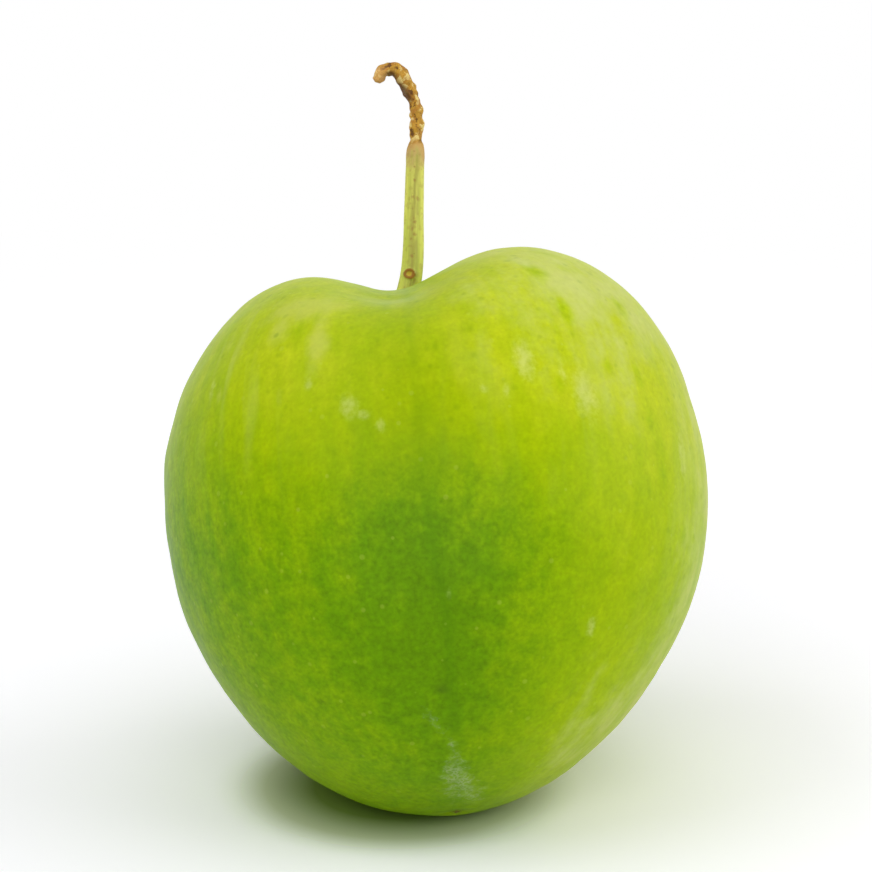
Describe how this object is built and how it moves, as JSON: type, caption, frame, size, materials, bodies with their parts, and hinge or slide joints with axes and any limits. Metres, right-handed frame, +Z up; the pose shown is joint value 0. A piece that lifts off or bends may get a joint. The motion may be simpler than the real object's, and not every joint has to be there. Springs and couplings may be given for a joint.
{
  "type": "green plum",
  "caption": "Whole green plum with a heart-shaped outline, a suture down its front, and a slender hooked stem standing in the cavity at its top.",
  "frame": {"origin": "middle of the small flat spot under the fruit, on the surface that it rests on", "axes": "+Z up from the surface; -Y to the front, where the suture faces; +X to the fruit's fuller cheek"},
  "size_m": [0.0359, 0.0363, 0.0446],
  "materials": {
    "green_skin": "satin",
    "lime_bark": "matte"
  },
  "bodies": {
    "root": {"fruit": "green_skin", "stem": "lime_bark"}
  },
  "joints": []
}
